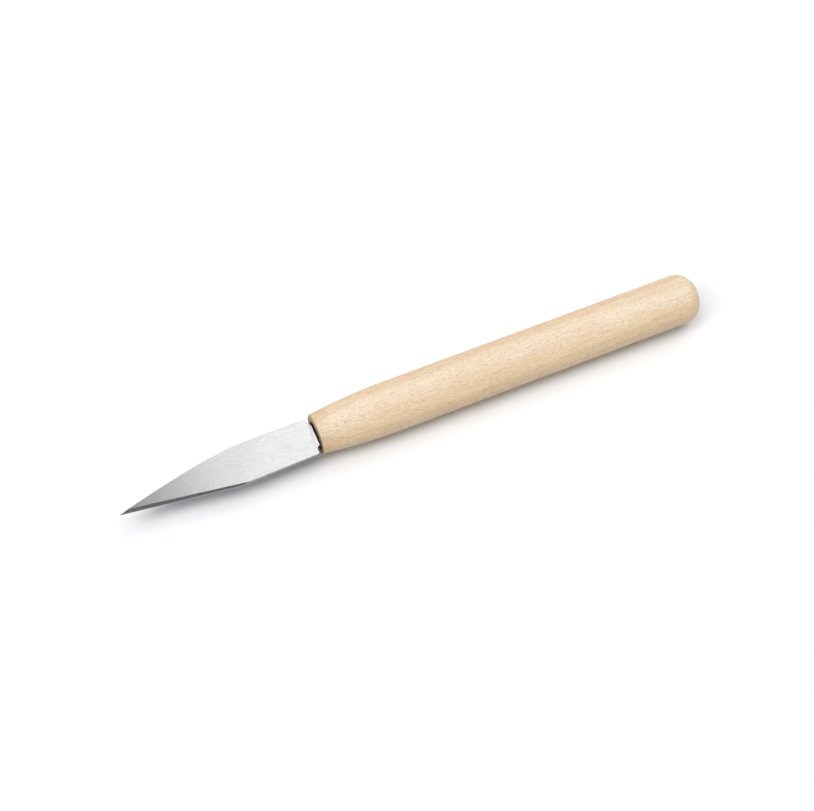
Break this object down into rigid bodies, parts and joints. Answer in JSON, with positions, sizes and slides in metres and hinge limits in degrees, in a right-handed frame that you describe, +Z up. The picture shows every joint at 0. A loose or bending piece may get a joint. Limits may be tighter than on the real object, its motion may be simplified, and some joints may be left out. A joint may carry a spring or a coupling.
{
  "type": "pottery knife",
  "caption": "Hand tool for cutting and trimming clay: a short flat pointed steel blade with a ground edge, its tang glued into a hole in the nose of a round turned beech handle with a domed butt.",
  "frame": {"origin": "on the surface that the knife lies on, under the middle of its length and under the handle's axis", "axes": "+X along the handle's axis from the blade's point to the butt, +Z up and square to the level blade, cutting edge towards -Y"},
  "size_m": [0.1912, 0.0158, 0.0157],
  "materials": {
    "turned_beech": "pale turned beech, sanded smooth, satin, with short fine darker flecks along the grain",
    "brushed_steel": "finely brushed sheet steel, with a ground bevel along the cutting edge",
    "cured_glue": "cured brown glue, hidden in the hole"
  },
  "bodies": {
    "root": {"handle": "turned_beech", "blade": "brushed_steel", "tang_adhesive": "cured_glue"}
  },
  "joints": []
}
